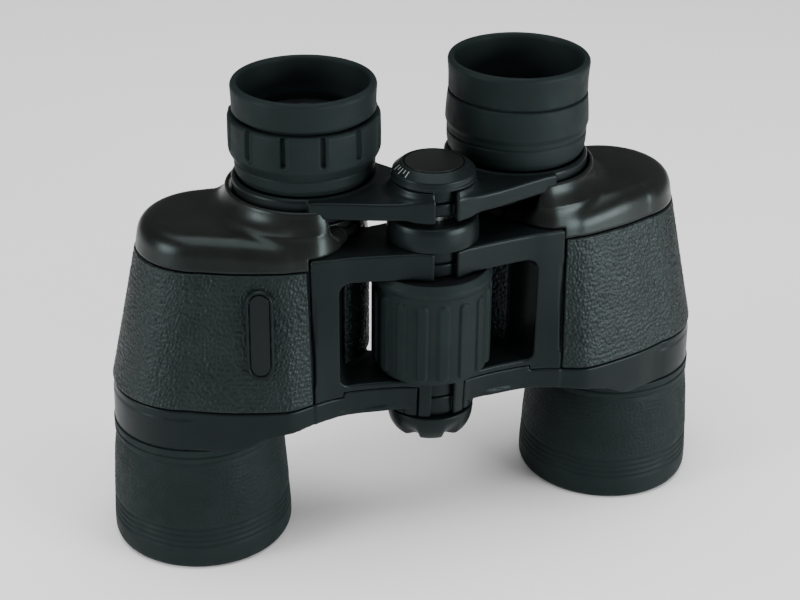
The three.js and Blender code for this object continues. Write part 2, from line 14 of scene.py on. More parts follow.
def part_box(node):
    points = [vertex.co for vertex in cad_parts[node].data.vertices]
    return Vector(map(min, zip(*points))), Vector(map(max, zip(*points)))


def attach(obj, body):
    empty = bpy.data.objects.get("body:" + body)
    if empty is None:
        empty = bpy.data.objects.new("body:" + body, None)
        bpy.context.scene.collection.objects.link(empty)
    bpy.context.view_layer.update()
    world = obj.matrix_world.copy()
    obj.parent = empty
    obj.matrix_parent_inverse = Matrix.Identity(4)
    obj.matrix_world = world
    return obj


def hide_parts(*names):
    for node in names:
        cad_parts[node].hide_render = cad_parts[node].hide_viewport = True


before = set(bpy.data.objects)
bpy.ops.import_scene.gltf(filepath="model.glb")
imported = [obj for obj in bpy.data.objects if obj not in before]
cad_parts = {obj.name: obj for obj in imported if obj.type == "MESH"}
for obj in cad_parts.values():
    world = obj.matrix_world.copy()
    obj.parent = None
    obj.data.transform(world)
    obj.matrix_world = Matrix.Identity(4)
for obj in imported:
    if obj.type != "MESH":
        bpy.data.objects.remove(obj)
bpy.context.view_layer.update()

# ------------------------------------------------------------------ places, from the frame
MM = 1000.0
SIDES = (("left", 1), ("right", -1))


def box_mm(node):
    low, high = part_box(node)
    return np.array(low) * MM, np.array(high) * MM


def centre_mm(node):
    low, high = box_mm(node)
    return (low + high) / 2


HINGE_Y = centre_mm("hinge_tube")[1]
EYE = centre_mm("left_eyecup")[:2] - np.array([0, HINGE_Y])
OBJ = centre_mm("left_objective_sleeve")[:2] - np.array([0, HINGE_Y])

SKIRT_LOW = 38.9
SEAM_LOW = 51.0
SEAM_HIGH = 91.0
LEATHER = 1.0
WALL = 3.3
SHELL_LOW = 47.1
CHAMBER_LOW = 49.1
INNER_WALL_R = 17.6
SLEEVE_BORE_R = 22.3
GUIDE_R = 15.6
COVER_FLOOR = 46.8
SILL_LOW = 45.1
STRIP_EDGE = 36.05
DOME_TOP = 98.5
GUARD_TOP = 106.0
GUARD_R = 20.9
RECESS_FLOOR = 98.3
UPPER_LUG = (86.4, 94.0)
LOWER_LUG = (42.6, 54.5)
LUG_R = 12.8
LUG_CORE_R = 10.5
LUG_DRAFT = 0.0078
LUG_GAP = 3.2
LUG_EASE = 0.6
LOWER_PLATE = 9.0
BRIDGE_HUB = (103.6, 111.4)
BRIDGE_PLATE_TOP = 108.4
BRIDGE_RING_R = 20.3
BRIDGE_R = 11.6
BRIDGE_CORE_R = 9.3
BRIDGE_BORE_R = 3.6
BRIDGE_GAP = 3.0
OCULAR_R = 16.9
BEAD_R = 19.4
BEAD = 0.45
TUBE_R = 6.0
GAP = 0.3

NET_STEP = 0.5
BADGE_STEP = 0.16
LEATHER_STEP = 0.32
ROUND = 160
SLEEVE_ROUND = 360
RING_ROUND = 480
GRIP_ROUND = 510
CUP_ROUND = 200

# ------------------------------------------------------------------ outlines
FRONT_LOW = [(28.5, -6.8), (31, -8), (36.5, -9.6), (42, -11.3), (46, -11.3), (53, -9.7), (62, -7), (71, -3)]
FRONT_HIGH = [(28.5, -6.6), (31, -7.2), (36, -6.6), (40.2, -6.7), (43.6, -6.5), (49.5, -5.1), (57.1, -2.8),
              (64.8, 0.5)]
COVER_FRONT = [(22.2, 3), (25.2, -0.6), (28.8, -4.2), (32.5, -6.6), (36.5, -7), (40.2, -6.7), (43.6, -6.5),
               (49.5, -5.1), (57.1, -2.8), (64.8, 0.5)]
BACK_LOW = [(54, 42.8), (45, 41.4), (38, 39.2)]
BACK_HIGH = [(50.4, 39.2), (43, 38), (38, 36.9)]
UPPER_ARM_FRONT = [(3.2, -12.3), (8.5, -10.3), (15, -9.1), (25, -7.7), (31, -7.6), (36, -7.2)]
LOWER_ARM_FRONT = [(3.2, -12.3), (9, -9.6), (15.7, -8.2), (25, -7.3), (31, -7.9), (36, -9.2)]
ARM_BACK = [(34, 4), (18, 10), (7, 12), (3.2, 12.3)]
BRIDGE_FRONT = [(3, -11.1), (8.5, -9.4), (16.3, -7.5), (23, -5.2), (28, -3.45), (31.5, -2.3),
                (35, -1.65)]
BRIDGE_BACK = [(34, 8), (18, 32), (7, 16), (3, 11.1)]


def arc(centre, r, start, end, steps):
    angles = np.radians(np.linspace(start, end, steps + 1))
    return [(centre[0] + r * math.cos(a), centre[1] + r * math.sin(a)) for a in angles]


def spline(points, steps=5):
    """A smooth curve through the points (Catmull-Rom)."""
    p = np.array([points[0], *points, points[-1]], float)
    curve = []
    for i in range(1, len(p) - 2):
        for t in np.linspace(0, 1, steps, endpoint=False):
            a = 2 * p[i]
            b = (p[i + 1] - p[i - 1]) * t
            c = (2 * p[i - 1] - 5 * p[i] + 4 * p[i + 1] - p[i + 2]) * t ** 2
            d = (3 * p[i] - p[i - 1] - 3 * p[i + 1] + p[i + 2]) * t ** 3
            curve.append(tuple((a + b + c + d) / 2))
    curve.append(tuple(p[-2]))
    return curve


def outline(front, centre, r, back, inner_end=248):
    """A half's outline: front edge, outer arc, back edge, then the wall round the eyepiece."""
    start = math.degrees(math.atan2(front[-1][1] - centre[1], front[-1][0] - centre[0]))
    side = arc(centre, r, start + 4, 88, 40)
    rear = spline([side[-1], *back, (36.1, 36.5)], 6)[1:-1]
    return spline(front) + side + rear + arc(EYE, INNER_WALL_R, 72, inner_end, 44)


OUTLINE_LOW = outline(FRONT_LOW, OBJ, 23.7, BACK_LOW)
OUTLINE_HIGH = outline(FRONT_HIGH, (58.7, 19.5), 20.0, BACK_HIGH)
OUTLINE_COVER = outline(COVER_FRONT, (58.7, 19.5), 20.0, BACK_HIGH, 240)


# ------------------------------------------------------------------ distance fields (negative inside)
def ramp(value, low, high):
    """Rises smoothly from 0 at low to 1 at high."""
    t = np.clip((value - low) / (high - low), 0, 1)
    return t * t * (3 - 2 * t)


def blend_max(a, b, k):
    """The larger of two distances, with the crease between them rounded over a width k."""
    h = np.maximum(k - np.abs(a - b), 0) / k
    return np.maximum(a, b) + h * h * k / 4


def blend_min(a, b, k):
    return -blend_max(-a, -b, k)


def polygon(x, y, points):
    """Distance to a closed outline."""
    shape = np.broadcast(x, y).shape
    nearest = np.full(shape, 1e9)
    inside = np.zeros(shape, bool)
    for (ax, ay), (bx, by) in zip(points, list(points[1:]) + [points[0]]):
        ex, ey = bx - ax, by - ay
        if ex * ex + ey * ey < 1e-12:
            continue
        along = np.clip(((x - ax) * ex + (y - ay) * ey) / (ex * ex + ey * ey), 0, 1)
        nearest = np.minimum(nearest, (x - ax - ex * along) ** 2 + (y - ay - ey * along) ** 2)
        if ay != by:
            inside ^= ((ay > y) != (by > y)) & (x < ex * (y - ay) / ey + ax)
    return np.where(inside, -1.0, 1.0) * np.sqrt(nearest)


def slab(z, low, high):
    return np.maximum(low - z, z - high)


def round_wall(x, y, centre, r):
    return np.hypot(x - centre[0], y - centre[1]) - r


def extruded(flat, z, low, high, edge):
    return blend_max(flat, slab(z, low, high), edge)


def carve(body, tool, edge):
    return blend_max(body, -tool, edge)


def taper(z):
    return np.clip((z - SEAM_LOW) / (SEAM_HIGH - SEAM_LOW), 0, 1)


def body_wall(x, y, z):
    """Distance to the half's tapered outer surface, level with the leatherette."""
    low = polygon(x, y, OUTLINE_LOW)
    high = polygon(x, y, OUTLINE_HIGH)
    return low + (high - low) * taper(z)


# ------------------------------------------------------------------ meshes
def mesh_from(name, vertices, faces, side=1, crease=40):
    """A smooth-shaded mesh in metres in the frame, from points in mm about the hinge."""
    points = np.array(vertices, float).reshape(-1, 3).copy()
    if side < 0:
        points[:, 0] *= -1
        faces = [tuple(reversed(f)) for f in faces]
    points[:, 1] += HINGE_Y
    mesh = bpy.data.meshes.new(name)
    mesh.from_pydata((points / MM).tolist(), [], [tuple(int(i) for i in f) for f in faces])
    mesh.validate()
    mesh.shade_smooth()
    if crease:
        mesh.set_sharp_from_angle(angle=math.radians(crease))
    mesh.update()
    return mesh


def slope(field, points, nudge=0.02):
    """The unit direction in which the field rises at each point."""
    value = field(*points.T)
    rises = np.stack([field(*(points + nudge * axis).T) - value for axis in np.eye(3)], 1) / nudge
    return rises / np.maximum(np.linalg.norm(rises, axis=1), 1e-6)[:, None]


def crossings(field, inside, low, step, axis):
    """Where the grid lines along one axis pass through the surface."""
    first = [slice(None)] * 3
    second = [slice(None)] * 3
    first[axis], second[axis] = slice(0, -1), slice(1, None)
    edges = np.argwhere(inside[tuple(first)] != inside[tuple(second)])
    along = np.eye(3)[axis] * step
    near = low + edges * step
    far = near + along
    value_near = field(*near.T)
    value_far = field(*far.T)
    for _ in range(3):
        share = value_near / np.where(value_near == value_far, 1, value_near - value_far)
        middle = near + (far - near) * np.clip(share, 0.02, 0.98)[:, None]
        value = field(*middle.T)
        same = (value < 0) == (value_near < 0)
        near = np.where(same[:, None], middle, near)
        value_near = np.where(same, value, value_near)
        far = np.where(same[:, None], far, middle)
        value_far = np.where(same, value_far, value)
    share = value_near / np.where(value_near == value_far, 1, value_near - value_far)
    return edges, near + (far - near) * np.clip(share, 0, 1)[:, None]


def moulded(name, field, low, high, side=1, step=None, place=None):
    """A mesh of the zero surface of field(x, y, z), one vertex to a cell, set where the faces meet.

    Each cell's vertex is the point that lies best on all the surface planes that cross its edges, so a
    moulded edge comes out straight and a flat face stays flat.  Everything is in mm about the hinge."""
    step = step or NET_STEP

    def closed(x, y, z):
        sides = np.maximum(slab(x, low[0], high[0]), slab(y, low[1], high[1]))
        return np.maximum(field(x, y, z), np.maximum(sides, slab(z, low[2], high[2])))

    axes = [np.arange(a - 1.6 * step, b + 2.5 * step, step) for a, b in zip(low, high)]
    origin = np.array([a[0] for a in axes])
    size = np.array([len(a) - 1 for a in axes])
    sampled = closed(axes[0][:, None, None], axes[1][None, :, None], axes[2][None, None, :])
    inside = np.broadcast_to(sampled, size + 1) < 0
    rings = []
    planes = []
    for axis in range(3):
        u, v = (axis + 1) % 3, (axis + 2) % 3
        edges, points = crossings(closed, inside, origin, step, axis)
        normals = slope(closed, points)
        ring = []
        for du, dv in ((1, 1), (0, 1), (0, 0), (1, 0)):
            cell = edges.copy()
            cell[:, u] -= du
            cell[:, v] -= dv
            ring.append(np.ravel_multi_index(tuple(cell.T), tuple(size)))
        ring = np.stack(ring, 1)
        outward = inside[tuple(edges.T)]
        rings.append(np.where(outward[:, None], ring, ring[:, ::-1]))
        planes.append((np.repeat(points, 4, 0), np.repeat(normals, 4, 0), ring.reshape(-1)))
    used, faces = np.unique(np.concatenate(rings), return_inverse=True)
    points, normals, cell = (np.concatenate(part) for part in zip(*planes))
    vertices = best_points(points, normals, np.searchsorted(used, cell), len(used), step)
    faces = faces.reshape(-1, 4)
    if place:
        turn, at = place
        vertices = vertices @ turn.T + at
    return mesh_from(name, vertices, faces, side, crease=None)


def best_points(points, normals, cell, count, step):
    """For each cell, the point nearest to all its planes, kept close to the middle of its crossings."""
    hits = np.bincount(cell, minlength=count)
    middle = np.stack([np.bincount(cell, points[:, i], count) for i in range(3)], 1) / hits[:, None]
    offset = ((points - middle[cell]) * normals).sum(1)
    matrix = np.empty((count, 3, 3))
    right = np.empty((count, 3))
    for i in range(3):
        right[:, i] = np.bincount(cell, normals[:, i] * offset, count)
        for j in range(3):
            matrix[:, i, j] = np.bincount(cell, normals[:, i] * normals[:, j], count)
    matrix += 0.06 * hits[:, None, None] * np.eye(3)
    shift = np.linalg.solve(matrix, right[:, :, None])[:, :, 0]
    far = np.maximum(np.linalg.norm(shift, axis=1), 1e-9)
    return middle + shift * np.minimum(1, 0.7 * step / far)[:, None]


def rounded(profile, steps=4):
    """A closed profile of (radius, height, fillet) points with each corner replaced by a small curve."""
    points = [np.array(p[:2], float) for p in profile]
    fillets = [p[2] if len(p) > 2 else 0.25 for p in profile]
    curve = []
    count = len(points)
    for i, (point, fillet) in enumerate(zip(points, fillets)):
        before, after = points[i - 1], points[(i + 1) % count]
        if fillet <= 0 or point[0] <= 0:
            curve.append(point)
            continue
        a, b = before - point, after - point
        la, lb = np.linalg.norm(a), np.linalg.norm(b)
        reach = min(fillet, 0.48 * la, 0.48 * lb)
        start, end = point + a / la * reach, point + b / lb * reach
        for t in np.linspace(0, 1, steps + 1):
            curve.append((1 - t) ** 2 * start + 2 * t * (1 - t) * point + t ** 2 * end)
    return curve


def turned(name, profile, centre=(0, 0), side=1, relief=None, span=None, segments=None, crease=35):
    """A profile of (radius, height, fillet) points turned about a vertical axis.

    relief(angle, radius, height) adds to the radius; span is the longest step along the profile."""
    segments = segments or ROUND
    curve = rounded(profile)
    on_axis = curve[0][0] == 0 and curve[-1][0] == 0
    dense = []
    pairs = list(zip(curve, curve[1:] if on_axis else curve[1:] + [curve[0]]))
    for a, b in pairs:
        parts = max(1, math.ceil(np.linalg.norm(b - a) / span)) if span else 1
        dense += [a + (b - a) * i / parts for i in range(parts)]
    if on_axis:
        dense.append(curve[-1])
    radii = np.array([p[0] for p in dense])
    heights = np.array([p[1] for p in dense])
    angles = np.linspace(0, 2 * math.pi, segments, endpoint=False)
    r = np.repeat(radii[:, None], segments, 1)
    z = np.repeat(heights[:, None], segments, 1)
    a = np.repeat(angles[None, :], len(radii), 0)
    if relief:
        r = r + relief(a, r, z)
    points = np.stack([centre[0] + r * np.cos(a), centre[1] + r * np.sin(a), z], 2).reshape(-1, 3)
    rows = len(radii)
    faces = []
    last = rows - 1 if on_axis else rows
    for row in range(last):
        up = (row + 1) % rows
        for i in range(segments):
            j = (i + 1) % segments
            faces.append((row * segments + i, row * segments + j, up * segments + j, up * segments + i))
    if on_axis:
        points, faces = merge_axis(points, faces, segments, rows)
    return finish_turned(name, points, faces, side, crease)


def merge_axis(points, faces, segments, rows):
    """Draws each end row, which lies on the axis, together into one point."""
    remap = np.arange(len(points))
    remap[:segments] = 0
    remap[(rows - 1) * segments:] = (rows - 1) * segments
    used = np.unique(remap)
    place = {int(old): new for new, old in enumerate(used)}
    merged_faces = []
    for face in faces:
        corners = []
        for index in face:
            new = place[int(remap[index])]
            if new not in corners:
                corners.append(new)
        if len(corners) > 2:
            merged_faces.append(tuple(corners))
    return points[used], merged_faces


def finish_turned(name, points, faces, side, crease):
    """Turns the faces outwards if the profile ran the other way, then makes the mesh."""
    sample = np.array([points[list(f[:3])] for f in faces])
    volume = np.einsum("ij,ij->", sample[:, 0], np.cross(sample[:, 1], sample[:, 2]))
    if volume < 0:
        faces = [tuple(reversed(f)) for f in faces]
    return mesh_from(name, points, faces, side, crease)


def add_piece(name, mesh, body, slot, material, *nodes):
    """Adds a visual piece that moves with a body and stands in for the CAD nodes named."""
    obj = bpy.data.objects.new(name, mesh)
    bpy.context.scene.collection.objects.link(obj)
    mesh.materials.clear()
    mesh.materials.append(material)
    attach(obj, body)
    if nodes:
        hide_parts(*nodes)
    return obj


# ------------------------------------------------------------------ surface patterns
def scatter(i, j, seed):
    """Two repeatable numbers from 0 to 1 for each grid cell."""
    a = np.sin(i * 127.1 + j * 311.7 + seed * 17.3) * 43758.5453
    b = np.sin(i * 269.5 + j * 183.3 + seed * 29.1) * 24634.6345
    return a - np.floor(a), b - np.floor(b)


def pebbles(u, v, size, seed=0, around=None):
    """Height, 0 to 1, of irregular pebbles with a crease between neighbours."""
    ci, cj = np.floor(u / size), np.floor(v / size)
    nearest = np.full(np.broadcast(u, v).shape, 1e9)
    second = nearest.copy()
    for di in (-1, 0, 1):
        for dj in (-1, 0, 1):
            i, j = ci + di, cj + dj
            key = np.mod(i, around) if around else i
            su, sv = scatter(key, j, seed)
            d = np.hypot((i + 0.1 + 0.8 * su) * size - u, (j + 0.1 + 0.8 * sv) * size - v)
            second = np.minimum(second, np.maximum(nearest, d))
            nearest = np.minimum(nearest, d)
    ridge = np.clip((second - nearest) / (0.55 * size), 0, 1)
    return ridge * ridge * (3 - 2 * ridge)


# ------------------------------------------------------------------ materials
def new_material(name):
    """A material's node tree and shader, with the object's own coordinates to drive patterns."""
    material = bpy.data.materials.new(name)
    material.use_nodes = True
    tree = material.node_tree
    shader = next(n for n in tree.nodes if n.type == "BSDF_PRINCIPLED")
    coords = tree.nodes.new("ShaderNodeTexCoord")
    return material, tree, shader, coords.outputs["Object"]


NOISE_LOW = 0.3
NOISE_HIGH = 0.7


def noise(tree, vector, scale, detail=3.0):
    node = tree.nodes.new("ShaderNodeTexNoise")
    node.inputs["Scale"].default_value = scale
    node.inputs["Detail"].default_value = detail
    node.inputs["Roughness"].default_value = 0.55
    tree.links.new(vector, node.inputs["Vector"])
    return node.outputs["Fac"]


def cells(tree, vector, scale):
    node = tree.nodes.new("ShaderNodeTexVoronoi")
    node.feature = "SMOOTH_F1"
    node.inputs["Scale"].default_value = scale
    tree.links.new(vector, node.inputs["Vector"])
    return node.outputs["Distance"]


def between(tree, factor, low, high):
    """The span low to high, over the middle of a noise's range."""
    node = tree.nodes.new("ShaderNodeMapRange")
    node.inputs["From Min"].default_value = NOISE_LOW
    node.inputs["From Max"].default_value = NOISE_HIGH
    node.inputs["To Min"].default_value = low
    node.inputs["To Max"].default_value = high
    tree.links.new(factor, node.inputs["Value"])
    return node.outputs["Result"]


def colour_ramp(tree, factor, dark, light):
    node = tree.nodes.new("ShaderNodeValToRGB")
    node.color_ramp.elements[0].position = NOISE_LOW
    node.color_ramp.elements[0].color = (*dark, 1)
    node.color_ramp.elements[1].position = NOISE_HIGH
    node.color_ramp.elements[1].color = (*light, 1)
    tree.links.new(factor, node.inputs["Fac"])
    return node.outputs["Color"]


def bump(tree, shader, height, strength, distance):
    node = tree.nodes.new("ShaderNodeBump")
    node.inputs["Strength"].default_value = strength
    node.inputs["Distance"].default_value = distance
    tree.links.new(height, node.inputs["Height"])
    tree.links.new(node.outputs["Normal"], shader.inputs["Normal"])
    return node


GLOSS_TINT = (0.78, 1.0, 0.99, 1)
DRIFT_SCALE = 60.0
GLOSS_SCALE = 300.0


def coated(name, dark, light, roughness, grain, strength, distance, metallic=0.0, specular=0.5):
    """A moulded or painted surface: slow colour drift, uneven gloss and a fine skin."""
    material, tree, shader, vector = new_material(name)
    drift = noise(tree, vector, DRIFT_SCALE, 4.0)
    tree.links.new(colour_ramp(tree, drift, dark, light), shader.inputs["Base Color"])
    gloss = noise(tree, vector, GLOSS_SCALE, 4.0)
    tree.links.new(between(tree, gloss, roughness[0], roughness[1]), shader.inputs["Roughness"])
    bump(tree, shader, noise(tree, vector, grain), strength, distance)
    shader.inputs["Metallic"].default_value = metallic
    shader.inputs["Specular IOR Level"].default_value = specular
    shader.inputs["Specular Tint"].default_value = GLOSS_TINT
    return material


def leather_material():
    """Near-black vinyl leatherette: pebbles with fine wrinkles and uneven gloss."""
    material, tree, shader, vector = new_material("pebbled_leatherette")
    pebble = cells(tree, vector, 900.0)
    drift = noise(tree, vector, 120.0, 5.0)
    tree.links.new(colour_ramp(tree, drift, (0.003, 0.0044, 0.0044), (0.0056, 0.0078, 0.0078)),
                   shader.inputs["Base Color"])
    tree.links.new(between(tree, noise(tree, vector, 1400.0, 4.0), 0.3, 0.48), shader.inputs["Roughness"])
    relief = tree.nodes.new("ShaderNodeMath")
    relief.operation = "MULTIPLY_ADD"
    tree.links.new(noise(tree, vector, 2600.0, 5.0), relief.inputs[0])
    relief.inputs[1].default_value = 0.6
    tree.links.new(pebble, relief.inputs[2])
    bump(tree, shader, relief.outputs["Value"], 0.8, 0.0003).invert = True
    shader.inputs["Specular IOR Level"].default_value = 0.18
    shader.inputs["Specular Tint"].default_value = GLOSS_TINT
    return material


def glass_material(name, tint):
    """Optical glass with an anti-reflection coat that leaves a faint tint."""
    material, tree, shader, vector = new_material(name)
    paler = tuple(min(1, c * 1.15) for c in tint)
    tree.links.new(colour_ramp(tree, noise(tree, vector, 40.0, 2.0), tint, paler),
                   shader.inputs["Base Color"])
    tree.links.new(between(tree, noise(tree, vector, 300.0, 3.0), 0.02, 0.04),
                   shader.inputs["Roughness"])
    shader.inputs["Transmission Weight"].default_value = 0.85
    shader.inputs["IOR"].default_value = 1.52
    shader.inputs["Coat Weight"].default_value = 0.6
    shader.inputs["Coat Roughness"].default_value = 0.03
    shader.inputs["Coat Tint"].default_value = (0.75, 0.6, 1.0, 1)
    return material


PAINT = coated("black_enamel", (0.0032, 0.0045, 0.0047), (0.0052, 0.007, 0.0072), (0.33, 0.4), 1500.0, 0.1,
               0.00008, specular=0.11)
SATIN = coated("satin_black_cover", (0.0048, 0.0056, 0.0052), (0.008, 0.0088, 0.008), (0.28, 0.36), 2600.0,
               0.16, 0.00006, specular=0.15)
LEATHER_SKIN = leather_material()
RUBBER = coated("matte_rubber", (0.0052, 0.0078, 0.0078), (0.0078, 0.0112, 0.0112), (0.5, 0.65), 3200.0, 0.25,
                0.00008, specular=0.09)
ANODISED = coated("black_anodised", (0.003, 0.003, 0.0035), (0.006, 0.006, 0.0065), (0.3, 0.45), 2400.0, 0.15,
                  0.00005, specular=0.2)
STEEL = coated("turned_steel", (0.42, 0.42, 0.43), (0.6, 0.6, 0.61), (0.22, 0.36), 1800.0, 0.15, 0.00004,
               metallic=1.0)
BADGE_GLOSS = coated("gloss_black_enamel", (0.002, 0.002, 0.0025), (0.004, 0.004, 0.0045), (0.08, 0.14),
                     900.0, 0.04, 0.00005, specular=0.15)
MARKING = coated("white_marking", (0.12, 0.13, 0.13), (0.18, 0.19, 0.19), (0.45, 0.6), 2500.0, 0.1, 0.00003)
LENS_GLASS = glass_material("coated_lens_glass", (0.62, 0.5, 0.66))
PRISM_GLASS = glass_material("prism_glass", (0.86, 0.92, 0.92))


# ------------------------------------------------------------------ housings and covers
BEFORE_LOW = [(-20, -30), (-20, -12.4)] + spline(LOWER_ARM_FRONT, 4) + [(37, -9.7), (37, -30)]
BEFORE_HIGH = [(-20, -30), (-20, -12.4)] + spline(UPPER_ARM_FRONT, 4) + [(37, -7.1), (37, -30)]
SKIN_SEAM = 52.7
SKIN_ROOM = [(6.5, -20), (36.5, -20), (36.5, -7.2), (25, -5.3), (15.7, -6.3), (9, -7.7), (6.5, -8.8)]
SKIN_FRONT = [(6.8, -10.45)] + spline(LOWER_ARM_FRONT[1:], 4)
SKIN = SKIN_FRONT + [(p[0], p[1] + 1.6) for p in reversed(SKIN_FRONT)]
SILL = [(13.2, -8.2)] + LOWER_ARM_FRONT[2:] + [(34, 4), (18, 10), (13.2, 10)]
ARM_ROOM = [(p[0], p[1] + 1.6) for p in LOWER_ARM_FRONT] + [(36, 4), (18, 10.6), (7, 12.6)]
BAND_INSET = 0.45
SKIRT_X = (34, 45, 51, 57, 60)
SKIRT_EDGE = (45.1, 44.0, 42.4, 39.2, SKIRT_LOW)
COVER_ARM_ROOM = [(20, -9), (25, -8.2), (31, -8), (36.4, -7.8), (36.4, 4.4), (18, 10.4), (10, 12)]


def lug(x, y, z, front, back, height, radius, core, bore, gap_x, is_left, plate=None, edge=0.7, draft=0.0,
        root=0.5):
    """An arm that ends in a round lug.  Each half's core ring takes half of the lug's height."""
    low, high = height
    plate_low, plate_high = plate or height
    across = y / narrowing(x, z, high, draft)
    shape = [front[0]] + spline(front[1:], 4) + list(back)
    arm = extruded(polygon(x, across, shape), z, plate_low, plate_high, edge)
    sector = blend_max(round_wall(x, across, (0, 0), radius), gap_x - x, LUG_EASE)
    arm = blend_min(arm, extruded(sector, z, low, high, edge), root)
    arm = blend_max(arm, gap_x - x, LUG_EASE)
    middle = (low + high) / 2
    own = (low, middle - GAP / 2) if is_left else (middle + GAP / 2, high)
    other = (middle - GAP / 2, high + 9) if is_left else (low - 9, middle + GAP / 2)
    room = extruded(round_wall(x, y, (0, 0), core + GAP), z, *other, 0.1)
    ring = extruded(round_wall(x, y, (0, 0), core), z, *own, 0.5)
    joined = np.minimum(carve(arm, room, 0.3), ring)
    return carve(joined, round_wall(x, y, (0, 0), bore), 0.3)


def narrowing(x, z, top, draft):
    """How much a lug has drawn in below its top; the draft fades out along the arm."""
    return 1 - draft * np.maximum(top - z, 0) * (1 - ramp(x, 10, 24))


def housing_field(is_left):
    """The casting: a hollow tapered wall with a smooth front strip and two hinge arms."""
    def field(x, y, z):
        wall = body_wall(x, y, z)
        chamber = np.maximum(wall + WALL, CHAMBER_LOW - z)
        step_in = LEATHER + GAP + 0.6 * (1 - ramp(z, SEAM_LOW - 0.1, SEAM_LOW + GAP))
        shell = blend_max(wall + step_in, slab(z, SHELL_LOW, SEAM_HIGH - 0.2), 0.5)
        strip_low = polygon(x, y, [(28.5, -7.6), (31, -8), (36, -9.4), (36, -5), (30, 2), (27, 2)])
        strip_high = polygon(x, y, [(28.5, -7.6), (31, -7.6), (36, -7.2), (36, -3), (30, 2), (27, 2)])
        strip = blend_max(strip_low + (strip_high - strip_low) * taper(z),
                          slab(z, SEAM_LOW + GAP, SEAM_HIGH - 0.2), 1.0)
        upper = lug(x, y, z, UPPER_ARM_FRONT, ARM_BACK, UPPER_LUG, LUG_R, LUG_CORE_R, TUBE_R + GAP,
                    LUG_GAP, is_left)
        lower = lug(x, y, z, LOWER_ARM_FRONT, ARM_BACK, LOWER_LUG, LUG_R, LUG_CORE_R, TUBE_R + GAP,
                    LUG_GAP, is_left, plate=(LOWER_LUG[1] - LOWER_PLATE, LOWER_LUG[1]), draft=LUG_DRAFT)
        across = y / narrowing(x, z, LOWER_LUG[1], LUG_DRAFT)
        skin_room = polygon(x, across, SKIN_ROOM)
        skin_room = np.maximum(skin_room, z - np.where(x > 27.5, SEAM_LOW + GAP, SKIN_SEAM))
        body = blend_min(blend_min(shell, strip, 0.6), upper, 3.6)
        body = blend_min(body, np.maximum(lower, -skin_room), 3.0)
        before = polygon(x, y, BEFORE_LOW)
        before = before + (polygon(x, y, BEFORE_HIGH) - before) * taper(z)
        body = np.maximum(body, -np.minimum(before, skin_room))
        body = np.maximum(body, np.minimum(x - STRIP_EDGE, wall + LEATHER + 0.2))
        objective_hole = np.maximum(round_wall(x, y, OBJ, SLEEVE_BORE_R), z - 52)
        guide_room = np.maximum(round_wall(x, y, EYE, GUIDE_R), SEAM_HIGH - z)
        return np.maximum(np.maximum(body, -chamber), np.maximum(-objective_hole, -guide_room))
    return field


def front_cover_field(x, y, z):
    """The objective-side cover: a skirt with a waved lower edge, a collar and a skin over the lower arm."""
    flare = 0.025 * np.maximum(SEAM_LOW - z, 0)
    wall = polygon(x, y, OUTLINE_LOW) + BAND_INSET - flare
    lower_edge = np.interp(x, SKIRT_X, SKIRT_EDGE)
    skirt = blend_max(wall, np.maximum(lower_edge - z, z - (SEAM_LOW - 0.1)), 0.5)
    hollow = np.maximum(wall + 2.2, z - COVER_FLOOR)
    skirt = np.maximum(skirt, -np.maximum(hollow, 23.3 - np.hypot(x - OBJ[0], y - OBJ[1])))
    collar = blend_max(round_wall(x, y, OBJ, 23.75 - BAND_INSET) - flare, slab(z, SKIRT_LOW, 48.0), 0.4)
    body = blend_min(skirt, collar, 0.8)
    across = y / narrowing(x, z, LOWER_LUG[1], LUG_DRAFT)
    skin_top = np.where(x > 27.5, SEAM_LOW - 0.1, SKIN_SEAM - 0.3)
    skin = blend_max(polygon(x, across, SKIN), slab(z, LOWER_LUG[0] + 0.1, skin_top), 0.5)
    skin = blend_max(skin, np.minimum(SILL_LOW - z, round_wall(x, across, (0, 0), LUG_R)), 0.3)
    sill = extruded(polygon(x, y, SILL), z, SILL_LOW, COVER_FLOOR, 0.5)
    arm_room = np.maximum(polygon(x, y, ARM_ROOM), slab(z, COVER_FLOOR + 0.1, 60))
    lug_room = round_wall(x, across, (0, 0), LUG_R + GAP)
    arms = np.minimum(skin, np.maximum(sill, -lug_room))
    body = blend_min(np.maximum(body, -arm_room), arms, 0.6)
    body = np.maximum(body, -round_wall(x, y, OBJ, SLEEVE_BORE_R))
    return np.maximum(body, -np.maximum(wall + 1.9, COVER_FLOOR - z))


